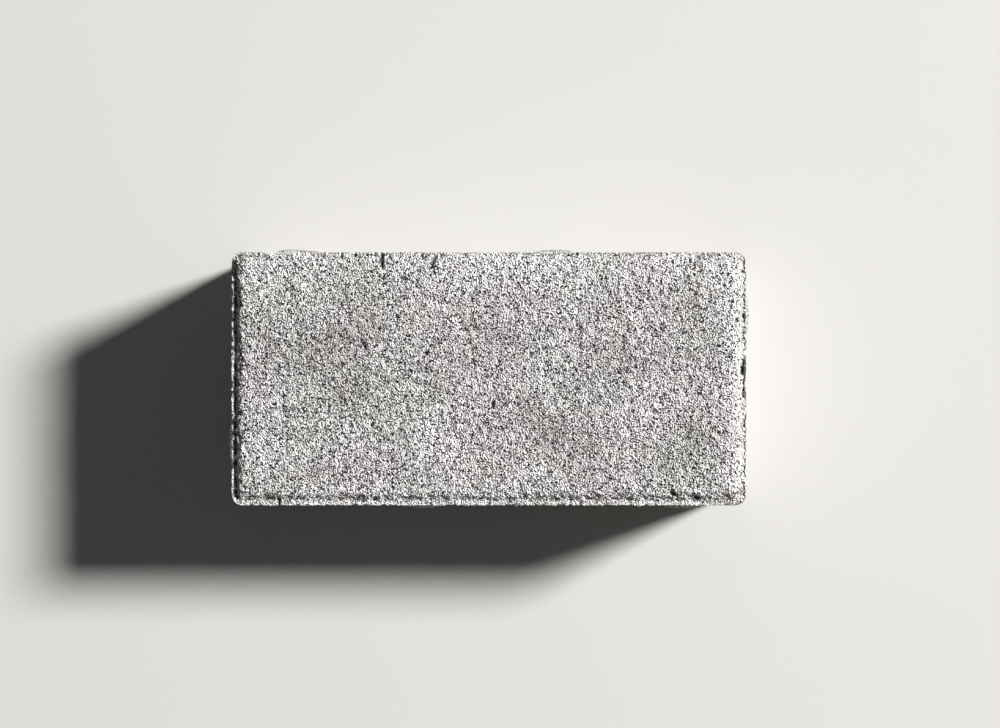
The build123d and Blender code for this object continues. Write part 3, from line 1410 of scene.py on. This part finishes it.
@dataclass(frozen=True)
class PressedConcrete:
    """Dense pale grey concrete, pressed semi-dry in a steel mould.

    Its face is fine sand bound in cement paste: matt, speckled grain by grain, mottled in soft
    clouds, and painted with shade at the bottom of its pits and hollows. Its nearly black grains
    are partly dark grains and partly painted shade between the grains. Down the walls the mould
    has smeared it, so it is smoother and more evenly grey there, and drawn into upright streaks.
    Along the arrises few grains are dark. The real grains are 0.1 to 0.5 mm wide, and all are
    drawn at 0.5 mm, because finer ones are too small to show. Sizes are in metres.
    """

    name: str = "pressed_concrete"
    # Nearly black grains: partly dark grains, partly painted shade between the grains
    sand_dark_and_shade: str = "#151413"
    sand_pale: str = "#FFFEFD"
    wall_dark: str = "#858280"
    wall_pale: str = "#CBC8C6"
    arris_paleness: float = 0.85
    wall_relief: float = 0.45
    # The share of nearly black grains, which are partly painted shade
    dark_and_shade_share: tuple[float, float] = (0.18, 0.24)
    sand_width: float = 0.5 * MM
    facet_slope: float = 1.5
    film_pale: str = "#FFFFFF"
    film_dark: str = "#D2D0CF"
    rosy: str = "#FFFBFC"
    mossy: str = "#FBFEFB"
    # Painted shade, laid in the bottoms of pits and hollows
    painted_shade_colour: str = "#1C1A19"
    ochre: str = "#B09B78"
    cloud_width: float = 30.0 * MM
    cloud_detail: float = 6.0
    cloud_roughness: float = 0.68
    cloud_range: tuple[float, float] = (0.28, 0.66)
    tone_reach: float = 0.35
    tone_on_sand: float = 0.05
    tint_width: float = 42.0 * MM
    tint_detail: float = 3.0
    tint_range: tuple[float, float] = (0.35, 0.65)
    stain_width: float = 14.0 * MM
    stain_detail: float = 2.0
    stain_range: tuple[float, float] = (0.60, 0.78)
    stain_most: float = 0.25
    grit_width: float = 0.6 * MM
    grit_height: float = 1.5 * MM
    pit_spacing: float = 1.6 * MM
    pit_radius: float = 0.7 * MM
    pit_bias: float = 1.5
    pit_slope: float = 2.5
    # The painted shade in pits and hollows: how deep they must be for it, and how much of it there is at most
    pit_shade_depth: float = 0.5 * MM
    pit_shade_most: float = 0.95
    hollow_shade_range: tuple[float, float] = (0.7 * MM, 1.3 * MM)
    hollow_shade_most: float = 0.9
    drag_width: float = 1.1 * MM
    drag_length: float = 22.0 * MM
    drag_height: float = 0.5 * MM
    drag_detail: float = 1.0
    roughness: float = 0.9

    @staticmethod
    def below_top(tree: bpy.types.NodeTree) -> bpy.types.Node:
        """Adds the share of each place that lies on a wall or on the bed face.

        Args:
            tree: The material's tree.

        Returns:
            The node that gives the share.
        """
        wall, bed = (
            add_node(tree, "ShaderNodeAttribute", attribute_name=zone.value)
            for zone in (Zone.WALL, Zone.BED)
        )
        return add_node(tree, "ShaderNodeMath", {
            0: wall.outputs["Fac"], 1: bed.outputs["Fac"],
        }, operation="ADD", use_clamp=True)

    def film(self, tree: bpy.types.NodeTree, place: Feed) -> bpy.types.Node:
        """Adds the cement film's soft clouds and faint tints, which multiply the sand's colours.

        Args:
            tree: The material's tree.
            place: What gives each point's place.

        Returns:
            The node that gives the film's colour.
        """
        cloud = add_node(tree, "ShaderNodeTexNoise", {
            "Vector": place, "Scale": 1 / self.cloud_width, "Detail": self.cloud_detail,
            "Roughness": self.cloud_roughness,
        })
        tone = add_node(tree, "ShaderNodeAttribute", attribute_name=Note.TONE.value)
        toned = add_node(tree, "ShaderNodeMath", {
            0: tone.outputs["Fac"], 1: self.tone_reach, 2: cloud.outputs["Fac"],
        }, operation="MULTIPLY_ADD")
        low, high = self.cloud_range
        shade = add_node(tree, "ShaderNodeMapRange", {
            "Value": toned, "From Min": low, "From Max": high, "To Min": 0.0, "To Max": 1.0,
        })
        film = add_node(tree, "ShaderNodeMix", {
            "Factor": shade, "A": linear(self.film_dark), "B": linear(self.film_pale),
        }, data_type="RGBA")
        patch = add_node(tree, "ShaderNodeTexNoise", {
            "Vector": place, "Scale": 1 / self.tint_width, "Detail": self.tint_detail,
        })
        start, end = self.tint_range
        side = add_node(tree, "ShaderNodeMapRange", {
            "Value": patch.outputs["Fac"], "From Min": start, "From Max": end, "To Min": 0.0, "To Max": 1.0,
        })
        tint = add_node(tree, "ShaderNodeMix", {
            "Factor": side, "A": linear(self.rosy), "B": linear(self.mossy),
        }, data_type="RGBA")
        return add_node(tree, "ShaderNodeMix", {
            "Factor": 1.0, "A": film, "B": tint,
        }, data_type="RGBA", blend_type="MULTIPLY")

    def stains(self, tree: bpy.types.NodeTree, place: Feed) -> bpy.types.Node:
        """Adds how ochre each place is: a faint pattern, and this stone's own stains.

        Args:
            tree: The material's tree.
            place: What gives each point's place.

        Returns:
            The node that gives the share of ochre.
        """
        blotch = add_node(tree, "ShaderNodeTexNoise", {
            "Vector": place, "Scale": 1 / self.stain_width, "Detail": self.stain_detail,
        })
        start, end = self.stain_range
        faint = add_node(tree, "ShaderNodeMapRange", {
            "Value": blotch.outputs["Fac"], "From Min": start, "From Max": end,
            "To Min": 0.0, "To Max": self.stain_most,
        })
        own = add_node(tree, "ShaderNodeAttribute", attribute_name=Note.STAIN.value)
        return add_node(tree, "ShaderNodeMath", {0: faint, 1: own.outputs["Fac"]}, operation="MAXIMUM")

    def pits(self, tree: bpy.types.NodeTree, place: Feed) -> bpy.types.Node:
        """Adds the depth of small pits with steep walls, too fine for the skin's net.

        Args:
            tree: The material's tree.
            place: What gives each point's place.

        Returns:
            The node that gives the depth, in metres.
        """
        cell = add_node(tree, "ShaderNodeTexVoronoi", {
            "Vector": place, "Scale": 1 / self.pit_spacing,
        }, feature="F1")
        chance = add_node(tree, "ShaderNodeSeparateXYZ", {"Vector": cell.outputs["Color"]})
        mostly_small = add_node(tree, "ShaderNodeMath", {
            0: chance.outputs["X"], 1: self.pit_bias,
        }, operation="POWER")
        wide = add_node(tree, "ShaderNodeMath", {0: mostly_small, 1: self.pit_radius}, operation="MULTIPLY")
        inside = add_node(tree, "ShaderNodeMath", {
            0: cell.outputs["Distance"], 1: -self.pit_spacing, 2: wide,
        }, operation="MULTIPLY_ADD")
        within = add_node(tree, "ShaderNodeMath", {0: inside, 1: 0.0}, operation="MAXIMUM")
        return add_node(tree, "ShaderNodeMath", {0: within, 1: self.pit_slope}, operation="MULTIPLY")

    def facets(self, tree: bpy.types.NodeTree, place: Feed, grain: bpy.types.Node) -> bpy.types.Node:
        """Adds the height of flat-topped grains that each lean their own way.

        Args:
            tree: The material's tree.
            place: What gives each point's place.
            grain: The pattern whose cells are the grains.

        Returns:
            The node that gives the height, in metres.
        """
        chance = add_node(tree, "ShaderNodeSeparateXYZ", {"Vector": grain.outputs["Color"]})
        lean = add_node(tree, "ShaderNodeCombineXYZ", {
            "X": chance.outputs["Y"], "Y": chance.outputs["Z"], "Z": chance.outputs["X"],
        })
        either_way = add_node(tree, "ShaderNodeVectorMath", {
            0: lean, 1: MIDDLE_COLOUR,
        }, operation="SUBTRACT")
        within = add_node(tree, "ShaderNodeVectorMath", {
            0: place, 1: grain.outputs["Position"],
        }, operation="SUBTRACT")
        rise = add_node(tree, "ShaderNodeVectorMath", {0: either_way, 1: within}, operation="DOT_PRODUCT")
        return add_node(tree, "ShaderNodeMath", {0: rise, 1: self.facet_slope}, operation="MULTIPLY")

    def relief(self, tree: bpy.types.NodeTree, place: Feed, facets: Feed, pits: Feed,
               kept: Feed) -> bpy.types.Node:
        """Adds the height of the sand, the pits and the walls' streaks.

        Args:
            tree: The material's tree.
            place: What gives each point's place.
            facets: What gives the height of the single grains.
            pits: What gives the depth of the small pits.
            kept: What gives the share of the sand's relief that the mould left.

        Returns:
            The node that gives the height, in metres.
        """
        height = add_node(tree, "ShaderNodeMath", {0: facets, 1: pits}, operation="SUBTRACT")
        grit = add_node(tree, "ShaderNodeTexNoise", {
            "Vector": place, "Scale": 1 / self.grit_width, "Detail": 0.0,
        })
        height = add_node(tree, "ShaderNodeMath", {
            0: grit.outputs["Fac"], 1: self.grit_height, 2: height,
        }, operation="MULTIPLY_ADD")
        height = add_node(tree, "ShaderNodeMath", {0: height, 1: kept}, operation="MULTIPLY")
        drawn_out = add_node(tree, "ShaderNodeVectorMath", {
            0: place, 1: (1 / self.drag_width, 1 / self.drag_width, 1 / self.drag_length),
        }, operation="MULTIPLY")
        drag = add_node(tree, "ShaderNodeTexNoise", {
            "Vector": drawn_out, "Scale": 1.0, "Detail": self.drag_detail,
        })
        wall = add_node(tree, "ShaderNodeAttribute", attribute_name=Zone.WALL.value)
        streak = add_node(tree, "ShaderNodeMath", {
            0: drag.outputs["Fac"], 1: wall.outputs["Fac"],
        }, operation="MULTIPLY")
        return add_node(tree, "ShaderNodeMath", {
            0: streak, 1: self.drag_height, 2: height,
        }, operation="MULTIPLY_ADD")

    def sand(self, tree: bpy.types.NodeTree, grain: bpy.types.Node, arris: Feed,
             below: Feed) -> bpy.types.Node:
        """Adds the sand's colours, nearly black or pale on top and two middle greys on the walls.

        The nearly black grains on top are partly painted shade between the grains.

        Args:
            tree: The material's tree.
            grain: The pattern whose cells are the grains.
            arris: What gives the share of each place that is arris.
            below: What gives the share of each place that lies on a wall or on the bed face.

        Returns:
            The node that gives the colour.
        """
        chance = add_node(tree, "ShaderNodeSeparateXYZ", {"Vector": grain.outputs["Color"]})
        tone = add_node(tree, "ShaderNodeAttribute", attribute_name=Note.TONE.value)
        toned = add_node(tree, "ShaderNodeMath", {
            0: tone.outputs["Fac"], 1: self.tone_on_sand, 2: chance.outputs["X"],
        }, operation="MULTIPLY_ADD")
        all_dark, any_dark = self.dark_and_shade_share
        pale = add_node(tree, "ShaderNodeMapRange", {
            "Value": toned, "From Min": all_dark, "From Max": any_dark, "To Min": 0.0, "To Max": 1.0,
        })
        on_arris = add_node(tree, "ShaderNodeMath", {0: arris, 1: self.arris_paleness}, operation="MULTIPLY")
        pale = add_node(tree, "ShaderNodeMath", {0: pale, 1: on_arris}, operation="MAXIMUM")
        on_top, smeared = (
            add_node(tree, "ShaderNodeMix", {
                "Factor": pale, "A": linear(dark_grain_and_shade), "B": linear(pale_grain),
            }, data_type="RGBA")
            for dark_grain_and_shade, pale_grain in (
                (self.sand_dark_and_shade, self.sand_pale), (self.wall_dark, self.wall_pale),
            )
        )
        return add_node(tree, "ShaderNodeMix", {
            "Factor": below, "A": on_top, "B": smeared,
        }, data_type="RGBA")

    def marked(self, tree: bpy.types.NodeTree, place: Feed, colour: Feed, pits: Feed,
               kept: Feed) -> bpy.types.Node:
        """Lays the ochre stains, and painted shade in the bottoms of pits and hollows, over a colour.

        Args:
            tree: The material's tree.
            place: What gives each point's place.
            colour: What gives the colour without marks.
            pits: What gives the depth of the small pits.
            kept: What gives the share of the sand's relief that the mould left.

        Returns:
            The node that gives the colour with its marks.
        """
        # Painted shade in the pits and, by the noted depth, in the hollows
        most = add_node(tree, "ShaderNodeMath", {0: kept, 1: self.pit_shade_most}, operation="MULTIPLY")
        painted_pit_shade = add_node(tree, "ShaderNodeMapRange", {
            "Value": pits, "From Min": 0.0, "From Max": self.pit_shade_depth, "To Min": 0.0, "To Max": most,
        })
        depth = add_node(tree, "ShaderNodeAttribute", attribute_name=Note.DEPTH.value)
        start, end = self.hollow_shade_range
        hollow = add_node(tree, "ShaderNodeMapRange", {
            "Value": depth.outputs["Fac"], "From Min": start, "From Max": end,
            "To Min": 0.0, "To Max": self.hollow_shade_most,
        })
        for amount, tone, blend in (
            (self.stains(tree, place), self.ochre, "MULTIPLY"),
            (painted_pit_shade, self.painted_shade_colour, "MIX"),
            (hollow, self.painted_shade_colour, "MIX"),
        ):
            colour = add_node(tree, "ShaderNodeMix", {
                "Factor": amount, "A": colour, "B": linear(tone),
            }, data_type="RGBA", blend_type=blend)
        return colour

    def material(self) -> bpy.types.Material:
        """Makes the material on the piece's own object coordinates and its attributes.

        Returns:
            The material.
        """
        material, tree = new_material(self.name)
        place = add_node(tree, "ShaderNodeTexCoord").outputs["Object"]
        grain = add_node(tree, "ShaderNodeTexVoronoi", {"Vector": place, "Scale": 1 / self.sand_width})
        arris = add_node(tree, "ShaderNodeAttribute", attribute_name=Zone.ARRIS.value).outputs["Fac"]
        below = self.below_top(tree)
        pressed = add_node(tree, "ShaderNodeMath", {0: below, 1: arris}, operation="MAXIMUM")
        kept = add_node(tree, "ShaderNodeMapRange", {
            "Value": pressed, "From Min": 0.0, "From Max": 1.0, "To Min": 1.0, "To Max": self.wall_relief,
        })
        pits = self.pits(tree, place)
        filmed = add_node(tree, "ShaderNodeMix", {
            "Factor": 1.0, "A": self.sand(tree, grain, arris, below), "B": self.film(tree, place),
        }, data_type="RGBA", blend_type="MULTIPLY")
        facets = self.facets(tree, place, grain)
        bump = add_node(tree, "ShaderNodeBump", {
            "Strength": 1.0, "Distance": 1.0, "Height": self.relief(tree, place, facets, pits, kept),
        })
        shader = add_node(tree, "ShaderNodeBsdfPrincipled", {
            "Base Color": self.marked(tree, place, filmed, pits, kept),
            "Roughness": self.roughness, "Normal": bump,
        })
        add_node(tree, "ShaderNodeOutputMaterial", {"Surface": shader})
        return material


@dataclass
class PavingStone:
    """The whole stone: its skin, and the grains that stand out of it."""

    skin: StoneSkin = field(default_factory=StoneSkin)
    relief: SandRelief = field(default_factory=SandRelief)
    concrete: PressedConcrete = field(default_factory=PressedConcrete)
    wear: Wear = field(default_factory=Wear)
    sand: CoatedSand = field(default_factory=CoatedSand)

    def grain_kinds(self) -> list[Grains]:
        """Lists the kinds of grain that stand out of the skin.

        Returns:
            The kinds: finer sand on the face, and fewer, coarser grains on the walls.
        """
        face_sand = Grains(
            "face_sand", Zone.FACE, self.sand, per_square_metre=0.25 / MM ** 2,
            smallest=0.25 * MM, largest=0.9 * MM, seed=11,
        )
        wall_sand = Grains(
            "wall_sand", Zone.WALL, self.sand, per_square_metre=0.14 / MM ** 2,
            smallest=0.5 * MM, largest=1.6 * MM, seed=23,
        )
        return [face_sand, wall_sand]

    def build_skin(self) -> bpy.types.Object:
        """Builds and dresses the skin, which stands for the frame's solid.

        Returns:
            The skin, inside the frame's box.
        """
        body = self.skin.build("stone")
        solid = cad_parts[NODE_NAME]
        apply_tree(body, self.relief.tree(), self.relief.values(solid, self.concrete.material()))
        sizes = self.skin.sizes
        self.wear.apply(body.data, sizes.height - sizes.bevel_drop)
        keep_in_box(body.data, *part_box(NODE_NAME))
        return body

    def build(self) -> None:
        """Builds every piece, ties it to the frame and reports it."""
        body = self.build_skin()
        pieces = [body] + [kind.build(body) for kind in self.grain_kinds()]
        for piece in pieces:
            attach(piece, BODY_NAME)
            log.info("%s: %d triangles", piece.name, triangle_count(piece.data))
        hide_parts(NODE_NAME)


@dataclass(frozen=True)
class Studio:
    """The floor, the light and the camera that looks straight down, as in the photograph.

    Lengths are in metres, apart from the camera's lens and sensor, which are in millimetres.
    """

    floor_half: float = 3.0
    floor_roughness: float = 0.9
    floor_colour: str = "#D6D4D0"
    floor_bounce: str = "#A4A4A4"
    backdrop_colour: str = "#EEECE8"
    key_azimuth: float = math.radians(24)
    key_elevation: float = math.radians(33)
    key_distance: float = 8.0
    key_size: float = 1.6
    key_level: float = 1.1
    sky_level: float = 0.05
    lens: float = 100.0
    sensor: float = 36.0

    @staticmethod
    def seen(tree: bpy.types.NodeTree) -> bpy.types.Node:
        """Adds whether a ray is the camera's own, or one that gloss or glass sends on.

        Args:
            tree: The floor's or the sky's tree.

        Returns:
            The node that gives 1 for such a ray, and 0 for any other.
        """
        path = add_node(tree, "ShaderNodeLightPath")
        seen_or_glossy = add_node(tree, "ShaderNodeMath", {
            0: path.outputs["Is Camera Ray"], 1: path.outputs["Is Glossy Ray"],
        }, operation="MAXIMUM")
        return add_node(tree, "ShaderNodeMath", {
            0: seen_or_glossy, 1: path.outputs["Is Transmission Ray"],
        }, operation="MAXIMUM")

    def build_floor(self) -> None:
        """Lays the plain pale floor at the bed face's level."""
        half = self.floor_half
        corners = [(-half, -half, 0), (half, -half, 0), (half, half, 0), (-half, half, 0)]
        mesh = bpy.data.meshes.new("floor")
        mesh.from_pydata(corners, [], [(0, 1, 2, 3)])
        floor = new_object("floor", mesh)
        material, tree = new_material("pale_floor")
        colour = add_node(tree, "ShaderNodeMix", {
            "Factor": self.seen(tree), "A": linear(self.floor_bounce), "B": linear(self.floor_colour),
        }, data_type="RGBA")
        shader = add_node(tree, "ShaderNodeBsdfPrincipled", {
            "Base Color": colour, "Roughness": self.floor_roughness,
        })
        add_node(tree, "ShaderNodeOutputMaterial", {"Surface": shader})
        mesh.materials.append(material)

    def build_light(self) -> None:
        """Hangs the key lamp, so strong that a level face renders about as its colour is written."""
        lamp = bpy.data.lights.new("key", "AREA")
        lamp.shape = "DISK"
        lamp.size = self.key_size
        lamp.energy = math.pi ** 2 * self.key_level * self.key_distance ** 2 / math.sin(self.key_elevation)
        holder = bpy.data.objects.new("key", lamp)
        towards = Vector((
            math.cos(self.key_elevation) * math.cos(self.key_azimuth),
            math.cos(self.key_elevation) * math.sin(self.key_azimuth),
            math.sin(self.key_elevation),
        ))
        holder.location = towards * self.key_distance
        holder.rotation_mode = "QUATERNION"
        holder.rotation_quaternion = towards.to_track_quat("Z", "Y")
        bpy.context.scene.collection.objects.link(holder)

    def build_sky(self) -> None:
        """Gives the world a soft even light, and a pale look to the camera and in gloss."""
        world = bpy.data.worlds.new("studio")
        world.use_nodes = True
        tree = world.node_tree
        tree.nodes.clear()
        light = add_node(tree, "ShaderNodeBackground", {
            "Color": (1.0, 1.0, 1.0, 1.0), "Strength": self.sky_level,
        })
        backdrop = add_node(tree, "ShaderNodeBackground", {
            "Color": linear(self.backdrop_colour), "Strength": 1.0,
        })
        mixed = add_node(tree, "ShaderNodeMixShader", {0: self.seen(tree), 1: light, 2: backdrop})
        add_node(tree, "ShaderNodeOutputWorld", {"Surface": mixed})
        bpy.context.scene.world = world

    def build_camera(self) -> None:
        """Sets the camera straight above the middle of the photograph's frame."""
        _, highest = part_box(NODE_NAME)
        data = bpy.data.cameras.new("camera")
        data.sensor_width = self.sensor
        data.lens = self.lens
        camera = bpy.data.objects.new("camera", data)
        distance = PICTURE_WIDTH * self.lens / self.sensor
        camera.location = (*PICTURE_CENTRE, highest.z + distance)
        bpy.context.scene.collection.objects.link(camera)
        bpy.context.scene.camera = camera

    def build(self) -> None:
        """Builds the floor, the light, the sky and the camera."""
        self.build_floor()
        self.build_light()
        self.build_sky()
        self.build_camera()


def main() -> None:
    """Builds the stone and its studio, and reports each piece."""
    logging.basicConfig(level=logging.INFO, format="%(name)s: %(message)s")
    bpy.context.scene.view_settings.view_transform = "Standard"
    Studio().build()
    PavingStone().build()


if __name__ == "__main__":
    main()
